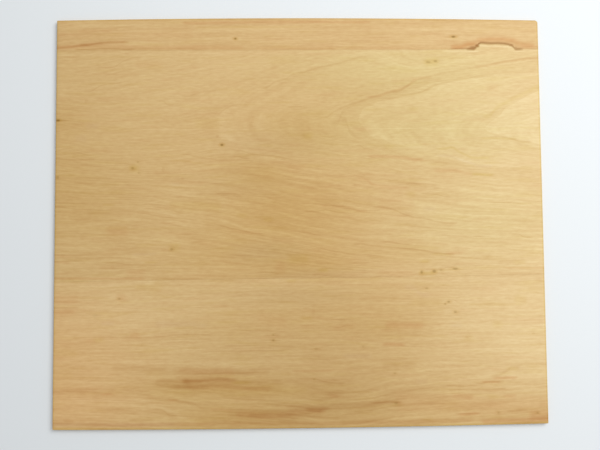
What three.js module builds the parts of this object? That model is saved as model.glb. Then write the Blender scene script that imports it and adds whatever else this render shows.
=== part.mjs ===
// A small sheet of three-ply plywood, lying on its back face.
//
// Millimetres. X runs along the grain of the face, Y across it and Z up through the plies.
// The origin is the middle of the underside, so the back face lies at z = 0.
//
// The plies are glued into one piece of stock, so the sheet is one solid. What can be felt of
// the plies is on the sawn edge: the cross band stands back a little from the two face plies,
// and each glue line is a fine groove. That edge runs along the two straight ends and the two
// long edges, which are cut slightly convex, and round all four corners, one of them worn.

import * as THREE from "three";
import { mergeGeometries, toCreasedNormals } from "three/addons/utils/BufferGeometryUtils.js";

// Plan of the sheet. Each long edge is a shallow arc that stands out by its bow at the middle.
const SHEET_LENGTH = 300;
const WIDTH_AT_ENDS = 250;
const FAR_EDGE_BOW = 1.5;
const NEAR_EDGE_BOW = 0.9;

// Thickness of each ply, sanded.
const FACE_PLY = 0.8;
const CROSS_BAND = 1.4;
const BACK_PLY = 0.8;

// Corners of the plan: three as the saw left them, and one knocked round by use.
const SAWN_CORNER_RADIUS = 0.4;
const WORN_CORNER_RADIUS = 1.8;

// The sawn edge.
const FACE_ARRIS_RADIUS = 0.2;
const BACK_ARRIS_RADIUS = 0.12;
const CROSS_BAND_SETBACK = 0.06;
const GLUE_GROOVE_WIDTH = 0.16;
const GLUE_GROOVE_DEPTH = 0.06;

// Facets.
const CORNER_FACETS = 8;
const ARRIS_FACETS = 4;
const LONG_EDGE_FACETS = 24;

const WOOD_COLOUR = 0xd2ae7a;
const WOOD_ROUGHNESS = 0.55;

const QUARTER_TURN = Math.PI / 2;

// Facets that meet at less than this angle are shaded as one round surface.
const CREASE_ANGLE = THREE.MathUtils.degToRad(30);

// Plies from the back up, each with how far its sawn edge stands back from the face plies.
const PLIES = [
  { name: "back", thickness: BACK_PLY, setback: 0 },
  { name: "cross band", thickness: CROSS_BAND, setback: CROSS_BAND_SETBACK },
  { name: "face", thickness: FACE_PLY, setback: 0 },
];

const SHEET_THICKNESS = PLIES.reduce((total, ply) => total + ply.thickness, 0);

const HALF_LENGTH = SHEET_LENGTH / 2;
const WIDTH_AT_MIDDLE = WIDTH_AT_ENDS + FAR_EDGE_BOW + NEAR_EDGE_BOW;

// Corners counter-clockwise from above, each as the signs of its x and y, with the bow of the
// long edge that it ends.
const CORNERS = [
  { x: 1, y: 1, radius: WORN_CORNER_RADIUS, bow: FAR_EDGE_BOW },
  { x: -1, y: 1, radius: SAWN_CORNER_RADIUS, bow: FAR_EDGE_BOW },
  { x: -1, y: -1, radius: SAWN_CORNER_RADIUS, bow: NEAR_EDGE_BOW },
  { x: 1, y: -1, radius: SAWN_CORNER_RADIUS, bow: NEAR_EDGE_BOW },
];

// A quarter circle round one corner, counter-clockwise, with the outline moved in by inset.
function cornerArc(corner, index, inset) {
  const arcRadius = corner.radius - inset;
  const startAngle = index * QUARTER_TURN;
  const arc = new THREE.EllipseCurve(
    corner.x * (HALF_LENGTH - corner.radius),
    corner.y * (WIDTH_AT_MIDDLE / 2 - corner.radius),
    arcRadius,
    arcRadius,
    startAngle,
    startAngle + QUARTER_TURN,
  );
  return arc.getPoints(CORNER_FACETS);
}

// The points that divide a long edge evenly, from one corner's arc to the next one's.
function longEdge(from, to) {
  return Array.from({ length: LONG_EDGE_FACETS - 1 }, (_, step) =>
    from.clone().lerp(to, (step + 1) / LONG_EDGE_FACETS),
  );
}

// Draws in a point that was laid out at the middle's width, by as much as its long edge has
// fallen back from its middle to there.
function bowed(point, corner) {
  const fallBack = corner.bow * (point.x / HALF_LENGTH) ** 2;
  return new THREE.Vector2(point.x, point.y - corner.y * fallBack);
}

// The outline of the sheet from above, moved in from the full size by inset.
function planOutline(inset) {
  const arcs = CORNERS.map((corner, index) => cornerArc(corner, index, inset));
  return CORNERS.flatMap((corner, index) => {
    const next = (index + 1) % CORNERS.length;
    const onLongEdge = corner.y === CORNERS[next].y;
    const edge = onLongEdge ? longEdge(arcs[index].at(-1), arcs[next][0]) : [];
    return [...arcs[index], ...edge].map((point) => bowed(point, corner));
  });
}

// The eased edge between the underside and the sawn edge, from the underside out.
function arrisProfile(radius) {
  return Array.from({ length: ARRIS_FACETS + 1 }, (_, step) => {
    const angle = (step / ARRIS_FACETS) * QUARTER_TURN;
    return {
      z: radius * (1 - Math.cos(angle)),
      inset: radius * (1 - Math.sin(angle)),
    };
  });
}

// A fine V-shaped groove where two plies meet.
function glueGroove(z, below, above) {
  const root = Math.max(below.setback, above.setback) + GLUE_GROOVE_DEPTH;
  return [
    { z: z - GLUE_GROOVE_WIDTH / 2, inset: below.setback },
    { z, inset: root },
    { z: z + GLUE_GROOVE_WIDTH / 2, inset: above.setback },
  ];
}

// The section of the sawn edge from the underside up, as heights with their insets.
function edgeProfile() {
  const backArris = arrisProfile(BACK_ARRIS_RADIUS);
  const faceArris = arrisProfile(FACE_ARRIS_RADIUS)
    .map(({ z, inset }) => ({ z: SHEET_THICKNESS - z, inset }))
    .reverse();
  const glueLines = [];
  let height = 0;
  for (let index = 0; index + 1 < PLIES.length; index += 1) {
    height += PLIES[index].thickness;
    glueLines.push(...glueGroove(height, PLIES[index], PLIES[index + 1]));
  }
  return [...backArris, ...glueLines, ...faceArris];
}

// Two triangles between each pair of neighbouring points on two rings, laid one after the other.
function loftTriangles(ringCount, ringSize) {
  const triangles = [];
  for (let ring = 0; ring + 1 < ringCount; ring += 1) {
    const low = ring * ringSize;
    const high = low + ringSize;
    for (let point = 0; point < ringSize; point += 1) {
      const next = (point + 1) % ringSize;
      triangles.push(low + point, low + next, high + next);
      triangles.push(low + point, high + next, high + point);
    }
  }
  return triangles;
}

// The flat face and back that close the first and the last ring.
function faceTriangles(rings, ringSize) {
  const top = (rings.length - 1) * ringSize;
  const face = THREE.ShapeUtils.triangulateShape(rings.at(-1).outline, []);
  const back = THREE.ShapeUtils.triangulateShape(rings[0].outline, []);
  return [
    ...face.flatMap(([a, b, c]) => [top + a, top + b, top + c]),
    ...back.flatMap(([a, b, c]) => [c, b, a]),
  ];
}

// One closed solid: the outline lofted up the edge's section, and closed by the two faces. Edge
// and faces are shaded apart, so the faces stay flat up to their arrises.
function sheetGeometry() {
  const rings = edgeProfile().map(({ z, inset }) => ({ z, outline: planOutline(inset) }));
  const ringSize = rings[0].outline.length;
  const positions = rings.flatMap(({ z, outline }) => outline.flatMap(({ x, y }) => [x, y, z]));
  const surfaces = [loftTriangles(rings.length, ringSize), faceTriangles(rings, ringSize)];
  return mergeGeometries(
    surfaces.map((triangles) => {
      const surface = new THREE.BufferGeometry();
      surface.setAttribute("position", new THREE.Float32BufferAttribute(positions, 3));
      surface.setIndex(triangles);
      return toCreasedNormals(surface, CREASE_ANGLE);
    }),
  );
}

const plywoodSheet = new THREE.Mesh(
  sheetGeometry(),
  new THREE.MeshStandardMaterial({
    color: WOOD_COLOUR,
    roughness: WOOD_ROUGHNESS,
    metalness: 0,
  }),
);
plywoodSheet.name = "plywood_sheet";

const part = new THREE.Group();
part.name = "plywood sheet";
part.add(plywoodSheet);

export default part;
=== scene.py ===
# The looks of a small sheet of three-ply plywood, lying on a pale floor.
#
# Lengths are millimetres in the CAD frame: X along the grain of the face, Y across it, Z up from
# the underside. They become metres where a mesh, a lamp or the camera is made.

import math

import bpy
from mathutils import Euler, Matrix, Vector, noise
from mathutils.geometry import delaunay_2d_cdt


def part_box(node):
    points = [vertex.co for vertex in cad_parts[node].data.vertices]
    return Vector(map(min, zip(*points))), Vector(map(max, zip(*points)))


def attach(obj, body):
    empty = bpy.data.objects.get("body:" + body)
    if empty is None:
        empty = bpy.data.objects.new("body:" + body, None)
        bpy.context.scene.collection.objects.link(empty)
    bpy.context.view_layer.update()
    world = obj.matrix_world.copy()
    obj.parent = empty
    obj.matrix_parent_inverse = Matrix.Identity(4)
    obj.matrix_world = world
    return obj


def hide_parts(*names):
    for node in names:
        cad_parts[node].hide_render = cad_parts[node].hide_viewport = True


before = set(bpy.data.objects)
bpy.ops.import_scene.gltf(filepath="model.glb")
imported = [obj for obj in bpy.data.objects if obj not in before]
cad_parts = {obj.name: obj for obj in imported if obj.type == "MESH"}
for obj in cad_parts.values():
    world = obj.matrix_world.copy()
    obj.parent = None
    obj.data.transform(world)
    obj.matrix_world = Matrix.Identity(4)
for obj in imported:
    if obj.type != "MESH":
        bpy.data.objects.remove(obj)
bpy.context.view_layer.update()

MM = 0.001
SHEET = "plywood_sheet"

# ---- Sizes. The CAD box gives the outside of the sheet, and the rest repeats the values of the
# part's own script.

SHEET_LOW, SHEET_HIGH = (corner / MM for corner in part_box(SHEET))
HALF_LENGTH = SHEET_HIGH.x
HALF_WIDTH = SHEET_HIGH.y
SHEET_TOP = SHEET_HIGH.z

FAR_EDGE_BOW = 1.5
NEAR_EDGE_BOW = 0.9
WORN_CORNER_RADIUS = 1.8
SAWN_CORNER_RADIUS = 0.4
CORNER_STEPS = 8
FACE_PLY = 0.8
BACK_PLY = 0.8
FACE_ARRIS = 0.2
BACK_ARRIS = 0.12
BAND_SETBACK = 0.06
GLUE_GROOVE_HALF = 0.08
GLUE_GROOVE_ROOT = 0.12

BACK_TOP = SHEET_LOW.z + BACK_PLY
FACE_BOTTOM = SHEET_TOP - FACE_PLY

# The face is three leaves of veneer, jointed along two lines that cross the whole sheet.
FAR_JOINT_LEFT_Y = 105.6
FAR_JOINT_RIGHT_Y = 106.4
NEAR_JOINT_LEFT_Y = -36.8
NEAR_JOINT_RIGHT_Y = -34.7
JOINT_GAP = 0.01
JOINT_EASE = 0.014

# The broken place in the far joint, where the wide leaf fills a bite out of the narrow one, as
# x and how far the wide leaf stands above the joint's straight line.
BITE_PATH = [
    (109, 0), (110.2, 0.7), (111.7, 2.2), (112.9, 3.6), (114.2, 4.1), (117.3, 3.9), (121, 3.7),
    (124.5, 3.8), (128.5, 3.5), (131.8, 2.9), (133.3, 2.1), (134.6, 1.1), (136, 0),
]
BITE_START, BITE_END = BITE_PATH[0][0], BITE_PATH[-1][0]

# Spacing of the points along an edge, of the plain face, and round the bite.
EDGE_STEP = 1.5
FACE_STEP = 3.0
BITE_STEP = 0.6

# Pin knots and nicks: centre, half sizes along and across the grain, depth, and darkness.
PIN_KNOTS = [
    (-39.8, 113.2, 0.9, 0.7, 0.06, 0.9), (96.6, 114.3, 1.5, 0.8, 0.08, 0.9),
    (80.5, 98.2, 1.8, 0.8, 0.03, 0.4), (85, 98.8, 1.4, 0.8, 0.05, 0.5),
    (-148.8, 62.2, 1.3, 0.8, 0.16, 0.95), (-148.6, 27, 0.9, 1.2, 0.03, 0.4),
    (-48.3, 46.6, 1.1, 0.8, 0.08, 0.9), (-103, 32.5, 1.1, 0.9, 0.03, 0.45),
    (-99.8, 36.2, 0.8, 0.6, 0.02, 0.3), (-99.2, 29.5, 0.7, 0.6, 0.02, 0.25),
    (-79, -17.5, 1.2, 0.9, 0.03, 0.45), (74, -32.7, 0.9, 1.2, 0.06, 0.55),
    (81.8, -32.2, 1.3, 1.1, 0.08, 0.6), (86, -31.5, 1.1, 0.8, 0.02, 0.25),
    (94.8, -30.8, 2.1, 0.8, 0.05, 0.55), (90.3, -51, 1.1, 0.7, 0.05, 0.5),
    (88.2, -52.3, 0.7, 0.5, 0.03, 0.5), (94.3, -57.2, 1.2, 0.9, 0.03, 0.4),
    (77, -42.6, 1.2, 0.6, 0.02, 0.35), (-17.3, -73.3, 0.9, 0.8, 0.05, 0.45),
    (-17.3, -70, 0.8, 0.6, 0.03, 0.3), (-110.5, -47.3, 1, 0.7, 0.03, 0.35),
    (-125, -57.3, 1.8, 1.4, 0.01, 0.12), (56.5, -94, 0.9, 0.7, 0.02, 0.3),
    (119.5, -118.5, 0.8, 0.9, 0.02, 0.25), (143.5, -118.8, 1, 0.8, 0.02, 0.35),
    (7.4, -97, 0.9, 0.7, 0.01, 0.25), (37.3, -77.6, 0.9, 0.8, 0.01, 0.18),
    (8.8, -78.8, 1.4, 0.8, 0.01, 0.2), (57, -112, 1.4, 1, 0.02, 0.35),
]


# ---- Outlines.


def smoothstep(low, high, value):
    t = min(max((value - low) / (high - low), 0.0), 1.0)
    return t * t * (3 - 2 * t)


def straight_between(left, right):
    """The straight line y(x) from the left end of the sheet to the right."""
    return lambda x: left + (right - left) * (x + HALF_LENGTH) / (2 * HALF_LENGTH)


def bite_rise(x):
    """How far the wide leaf reaches into the narrow one at x."""
    for (x0, rise0), (x1, rise1) in zip(BITE_PATH, BITE_PATH[1:]):
        if x0 <= x <= x1:
            return rise0 + (rise1 - rise0) * (x - x0) / (x1 - x0)
    return 0.0


far_joint_line = straight_between(FAR_JOINT_LEFT_Y, FAR_JOINT_RIGHT_Y)
near_joint = straight_between(NEAR_JOINT_LEFT_Y, NEAR_JOINT_RIGHT_Y)


def far_joint(x):
    return far_joint_line(x) + bite_rise(x)


def far_edge(x):
    return HALF_WIDTH - FAR_EDGE_BOW * (x / HALF_LENGTH) ** 2


def near_edge(x):
    return -HALF_WIDTH + NEAR_EDGE_BOW * (x / HALF_LENGTH) ** 2


def steps_between(start, stop, spacing):
    count = max(1, round(abs(stop - start) / spacing))
    return [start + (stop - start) * step / count for step in range(count + 1)]


def joint_stations():
    """The x of every point along the far joint, close together round the bite."""
    left = steps_between(-HALF_LENGTH, BITE_START, EDGE_STEP)
    right = steps_between(BITE_END, HALF_LENGTH, EDGE_STEP)
    bite = [BITE_START]
    for (x0, _), (x1, _) in zip(BITE_PATH, BITE_PATH[1:]):
        bite += steps_between(x0, x1, BITE_STEP)[1:]
    return left[:-1] + bite + right[1:]


def long_edge(side_y):
    return far_edge if side_y > 0 else near_edge


def corner_radius(side_x, side_y):
    return WORN_CORNER_RADIUS if (side_x, side_y) == (1, 1) else SAWN_CORNER_RADIUS


def corner_points(side_x, side_y):
    """A corner of the sheet, counter-clockwise, drawn in with its bowed long edge."""
    edge, radius = long_edge(side_y), corner_radius(side_x, side_y)
    centre = (side_x * (HALF_LENGTH - radius), side_y * (HALF_WIDTH - radius))
    start = {(1, 1): 0, (-1, 1): 90, (-1, -1): 180, (1, -1): 270}[side_x, side_y]
    points = []
    for step in range(CORNER_STEPS + 1):
        angle = math.radians(start + step * 90 / CORNER_STEPS)
        x = centre[0] + radius * math.cos(angle)
        y = centre[1] + radius * math.sin(angle)
        points.append((x, y - side_y * HALF_WIDTH + edge(x)))
    return points


def outline_end(side_x, side_y):
    """The y at which a straight end of the sheet meets the arc of its corner."""
    edge, radius = long_edge(side_y), corner_radius(side_x, side_y)
    return side_y * (HALF_WIDTH - radius) - side_y * HALF_WIDTH + edge(side_x * HALF_LENGTH)


# The sine of the turn at a point, under which the outline counts as straight there.
STRAIGHT_TURN = 0.05


class Outline:
    """A closed loop of points, counter-clockwise, each with the kind of the edge after it."""

    def __init__(self):
        self.points = []
        self.kinds = []

    def add(self, points, kind):
        """Appends a stretch whose last point starts the next stretch."""
        self.points += [Vector(point) for point in points[:-1]]
        self.kinds += [kind] * (len(points) - 1)

    def add_end(self, side_x, start, stop):
        x = side_x * HALF_LENGTH
        self.add([(x, y) for y in steps_between(start, stop, EDGE_STEP)], "sawn")

    def add_long_edge(self, side_y):
        """A long edge with its two corners, in counter-clockwise order."""
        edge = long_edge(side_y)
        first, last = corner_points(side_y, side_y), corner_points(-side_y, side_y)
        stations = steps_between(first[-1][0], last[0][0], EDGE_STEP)
        between = [(x, edge(x)) for x in stations[1:-1]]
        self.add(first + between + last, "sawn")

    def moved_in(self, sawn_inset, joint_inset):
        """The loop moved in: sawn_inset is a function of the point, joint_inset a number."""
        count = len(self.points)
        moved = []
        for index, point in enumerate(self.points):
            before = (point - self.points[index - 1]).normalized()
            after = (self.points[(index + 1) % count] - point).normalized()
            normals = [Vector((along.y, -along.x)) for along in (before, after)]
            kinds = (self.kinds[index - 1], self.kinds[index])
            insets = [sawn_inset(point) if kind == "sawn" else joint_inset for kind in kinds]
            turn = normals[0].cross(normals[1])
            if abs(turn) < STRAIGHT_TURN:
                normal = (normals[0] + normals[1]).normalized()
                moved.append(point - normal * max(insets))
                continue
            x = (insets[1] * normals[0].y - insets[0] * normals[1].y) / turn
            y = (insets[0] * normals[1].x - insets[1] * normals[0].x) / turn
            moved.append(point + Vector((x, y)))
        return moved


def sheet_outline():
    outline = Outline()
    outline.add_long_edge(-1)
    outline.add_end(1, outline_end(1, -1), outline_end(1, 1))
    outline.add_long_edge(1)
    outline.add_end(-1, outline_end(-1, 1), outline_end(-1, -1))
    return outline


def narrow_leaf_outline():
    outline = Outline()
    outline.add([(x, far_joint(x)) for x in joint_stations()], "joint")
    outline.add_end(1, far_joint(HALF_LENGTH), outline_end(1, 1))
    outline.add_long_edge(1)
    outline.add_end(-1, outline_end(-1, 1), far_joint(-HALF_LENGTH))
    return outline


def wide_leaf_outline():
    stations = steps_between(-HALF_LENGTH, HALF_LENGTH, EDGE_STEP)
    outline = Outline()
    outline.add([(x, near_joint(x)) for x in stations], "joint")
    outline.add_end(1, near_joint(HALF_LENGTH), far_joint(HALF_LENGTH))
    outline.add([(x, far_joint(x)) for x in reversed(joint_stations())], "joint")
    outline.add_end(-1, far_joint(-HALF_LENGTH), near_joint(-HALF_LENGTH))
    return outline


def lower_leaf_outline():
    stations = steps_between(HALF_LENGTH, -HALF_LENGTH, EDGE_STEP)
    outline = Outline()
    outline.add_end(-1, near_joint(-HALF_LENGTH), outline_end(-1, -1))
    outline.add_long_edge(-1)
    outline.add_end(1, outline_end(1, -1), near_joint(HALF_LENGTH))
    outline.add([(x, near_joint(x)) for x in stations], "joint")
    return outline


# ---- Relief of the face. Every height is nought or less, so nothing stands above the CAD's top.

WAVE_DEPTH = 0.02
WAVE_LENGTH = (90.0, 28.0)
CHIP_LENGTH = 2.8
CHIP_SEED = 5.0
END_CHIP_DEPTH = 0.13
LONG_EDGE_CHIP_DEPTH = 0.05
END_ZONE = 1.0

# A knot's hollow ends at this many of its half sizes, with rings of points on the way.
KNOT_REACH = 1.7
KNOT_RINGS = (0.4, 0.8, 1.2, KNOT_REACH)
KNOT_RING_POINTS = 12

# The groove round the bite. It fades in from beyond the bite's ends to inside them. Its nearest
# point is looked for at steps beside x, and rows of mesh points follow it on both sides. Farther
# than the last number from the far joint, it isn't looked for.
GROOVE_DEPTH = 0.07
GROOVE_REACH = 1.0
GROOVE_BEYOND = 3.0
GROOVE_INSIDE = 1.0
GROOVE_SEARCH = (-1.2, -0.8, -0.4, 0.0, 0.4, 0.8, 1.2)
GROOVE_ROWS = (-1.4, -0.9, -0.5, -0.22, 0.22, 0.5, 0.9, 1.4)
NEAR_FAR_JOINT = 8.0

# No point inside a leaf lies nearer than this to its sawn ends or to its other edges.
END_CLEARANCE = 0.6
EDGE_CLEARANCE = 0.12


def bell(t):
    """One at zero, falling smoothly to nothing at plus and minus one."""
    return max(0.0, 1.0 - t * t) ** 2


def wave(x, y):
    """The slow ripple that sanding leaves in a face."""
    spot = Vector((x / WAVE_LENGTH[0], y / WAVE_LENGTH[1], 0))
    return -WAVE_DEPTH * (0.5 + 0.5 * noise.noise(spot))


def bite_groove(x, y):
    """The open seam round the bite, where the two leaves don't quite meet."""
    started = smoothstep(BITE_START - GROOVE_BEYOND, BITE_START + GROOVE_INSIDE, x)
    ended = smoothstep(BITE_END - GROOVE_INSIDE, BITE_END + GROOVE_BEYOND, x)
    nearest = min(math.hypot(step, y - far_joint(x + step)) for step in GROOVE_SEARCH)
    return -GROOVE_DEPTH * (started * (1 - ended)) * bell(nearest / GROOVE_REACH)


def face_relief(x, y):
    """The height of the face at a point, counted from the CAD's flat top."""
    height = wave(x, y)
    for knot_x, knot_y, half_x, half_y, depth, _ in PIN_KNOTS:
        reach = math.hypot((x - knot_x) / half_x, (y - knot_y) / half_y)
        height -= depth * bell(reach / KNOT_REACH)
    if abs(y - far_joint_line(x)) < NEAR_FAR_JOINT:
        height += bite_groove(x, y)
    return height


def arris_chip(point):
    """How far the fibres along an arris have broken away."""
    at_end = abs(point.x) > HALF_LENGTH - END_ZONE
    depth = END_CHIP_DEPTH if at_end else LONG_EDGE_CHIP_DEPTH
    return depth * max(0.0, noise.noise(Vector((point.x, point.y, CHIP_SEED)) / CHIP_LENGTH))


def face_stations(low_edge, high_edge):
    """Points inside one leaf: an even net, rings round the knots and rows beside the bite."""
    spots = []
    for x in steps_between(-HALF_LENGTH, HALF_LENGTH, FACE_STEP)[1:-1]:
        rows = steps_between(low_edge(x), high_edge(x), FACE_STEP)[1:-1]
        spots += [(x, y) for y in rows]
    for knot_x, knot_y, half_x, half_y, *_ in PIN_KNOTS:
        spots.append((knot_x, knot_y))
        for ring in KNOT_RINGS:
            for step in range(KNOT_RING_POINTS):
                angle = 2 * math.pi * step / KNOT_RING_POINTS
                x = knot_x + ring * half_x * math.cos(angle)
                y = knot_y + ring * half_y * math.sin(angle)
                spots.append((x, y))
    for x in steps_between(BITE_START - GROOVE_BEYOND, BITE_END + GROOVE_BEYOND, BITE_STEP):
        spots += [(x, far_joint(x) + row) for row in GROOVE_ROWS]
    return [
        Vector((x, y))
        for x, y in spots
        if abs(x) < HALF_LENGTH - END_CLEARANCE
        and low_edge(x) + EDGE_CLEARANCE < y < high_edge(x) - EDGE_CLEARANCE
    ]


# ---- Meshes of the plies.

ARRIS_STEPS = 4
SHARP_ANGLE = math.radians(32)

# The output of delaunay_2d_cdt that keeps only the triangles inside the loop.
CDT_INSIDE = 1


def arris(radius):
    """Heights and insets of a rounded arris, from the sawn side to the flat."""
    angles = [math.pi / 2 * step / ARRIS_STEPS for step in range(1, ARRIS_STEPS + 1)]
    return [(radius * math.sin(angle), radius * (1 - math.cos(angle))) for angle in angles]


def face_levels():
    """Height, inset of the sawn edge, inset at a joint and share of the chips, going up."""
    half_gap = JOINT_GAP / 2
    levels = [
        (FACE_BOTTOM, GLUE_GROOVE_ROOT, half_gap, 0),
        (FACE_BOTTOM + GLUE_GROOVE_HALF, 0, half_gap, 0),
        (SHEET_TOP - FACE_ARRIS, 0, half_gap, 0),
    ]
    for rise, inset in arris(FACE_ARRIS):
        share = rise / FACE_ARRIS
        ease = JOINT_EASE * inset / FACE_ARRIS
        levels.append((SHEET_TOP - FACE_ARRIS + rise, inset, half_gap + ease, share))
    return levels


def band_levels():
    return [
        (BACK_TOP, GLUE_GROOVE_ROOT, 0, 0),
        (BACK_TOP + GLUE_GROOVE_HALF, BAND_SETBACK, 0, 0),
        (FACE_BOTTOM - GLUE_GROOVE_HALF, BAND_SETBACK, 0, 0),
        (FACE_BOTTOM, GLUE_GROOVE_ROOT, 0, 0),
    ]


def back_levels():
    levels = [
        (SHEET_LOW.z + BACK_ARRIS - rise, inset, 0, rise / BACK_ARRIS)
        for rise, inset in reversed(arris(BACK_ARRIS))
    ]
    return levels + [
        (SHEET_LOW.z + BACK_ARRIS, 0, 0, 0),
        (BACK_TOP - GLUE_GROOVE_HALF, 0, 0, 0),
        (BACK_TOP, GLUE_GROOVE_ROOT, 0, 0),
    ]


def add_object(name, data):
    """Puts an object with the given mesh, lamp or camera into the scene."""
    made = bpy.data.objects.new(name, data)
    bpy.context.scene.collection.objects.link(made)
    return made


def cap_faces(ring, inner):
    """The spots of a closed ring and the points inside it, and the triangles that join them.

    Only triangles inside the ring are kept, found by spreading from the one at its first side.
    """
    count = len(ring)
    loop = list(range(count))
    spots, _, triangles, _, _, _ = delaunay_2d_cdt(ring + inner, [], [loop], CDT_INSIDE, 0.0)
    owner = {}
    for a, b, c in triangles:
        owner[a, b] = owner[b, c] = owner[c, a] = (a, b, c)
    walls = {(index, (index + 1) % count) for index in loop}
    inside, waiting = set(), [owner[0, 1]]
    while waiting:
        a, b, c = waiting.pop()
        if (a, b, c) in inside:
            continue
        inside.add((a, b, c))
        waiting += [owner[end, start] for start, end in {(a, b), (b, c), (c, a)} - walls]
    return spots, sorted(inside)


def no_relief(x, y):
    """The relief of a plain face."""
    return 0.0


def make_ply(name, outline, levels, inner=(), relief=no_relief):
    """One closed ply or leaf: its outline lofted up its levels, a bottom, and a top in relief."""
    bottom, top = levels[0][0], levels[-1][0]
    vertices, faces = [], []
    rings = []
    for z, sawn_inset, joint_inset, chip_share in levels:
        ring = outline.moved_in(
            lambda point: sawn_inset + chip_share * arris_chip(point), joint_inset
        )
        rings.append(ring)
        for point in ring:
            fall = relief(*point) * (z - bottom) / (top - bottom)
            vertices.append((point.x, point.y, z + fall))
    size = len(outline.points)
    for level in range(len(levels) - 1):
        low, high = level * size, (level + 1) * size
        for index in range(size):
            after = (index + 1) % size
            faces.append((low + index, low + after, high + after, high + index))

    faces += [face[::-1] for face in cap_faces(rings[0], [])[1]]

    top_start = (len(levels) - 1) * size
    spots, top_faces = cap_faces(rings[-1], list(inner))
    vertices += [(spot.x, spot.y, top + relief(*spot)) for spot in spots[size:]]
    faces += [[top_start + corner for corner in face] for face in top_faces]

    mesh = bpy.data.meshes.new(name)
    mesh.from_pydata([Vector(vertex) * MM for vertex in vertices], [], faces)
    mesh.validate()
    mesh.polygons.foreach_set("use_smooth", [True] * len(mesh.polygons))
    mesh.set_sharp_from_angle(angle=SHARP_ANGLE)
    return add_object(name, mesh)


# ---- Materials as formulas. A Field is a value over the surface, and a Graph makes its nodes.


def operator(operation):
    """The method of a Field that makes a maths node of two values."""
    return lambda field, other: field.graph.maths(operation, field, other)


class Field:
    def __init__(self, graph, socket):
        self.graph = graph
        self.socket = socket

    __add__ = __radd__ = operator("ADD")
    __sub__ = operator("SUBTRACT")
    __mul__ = operator("MULTIPLY")
    __truediv__ = operator("DIVIDE")

    def __rsub__(self, other):
        return self.graph.maths("SUBTRACT", other, self)

    def __abs__(self):
        return self.graph.maths("ABSOLUTE", self)


# The widest half width of a mark, how far it fades out past its two ends, and the room between
# two marks that share a lane.
WIDEST_MARK = 12.0
TAPER = 5.0
LANE_GAP = 1.5

# Room above and below the marks in a lane's curve of heights.
LANE_MARGIN = 1.0

# An oval spot ends at the first number times its half sizes, and is full within the second.
OVAL_FADE = (1.2, 0.35)

# The specular level of every material.
GLOSS = 0.3

# The sockets of a Mix node when it mixes colours.
MIX_FACTOR, MIX_A, MIX_B = 0, 6, 7
MIX_RESULT = 2


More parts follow.
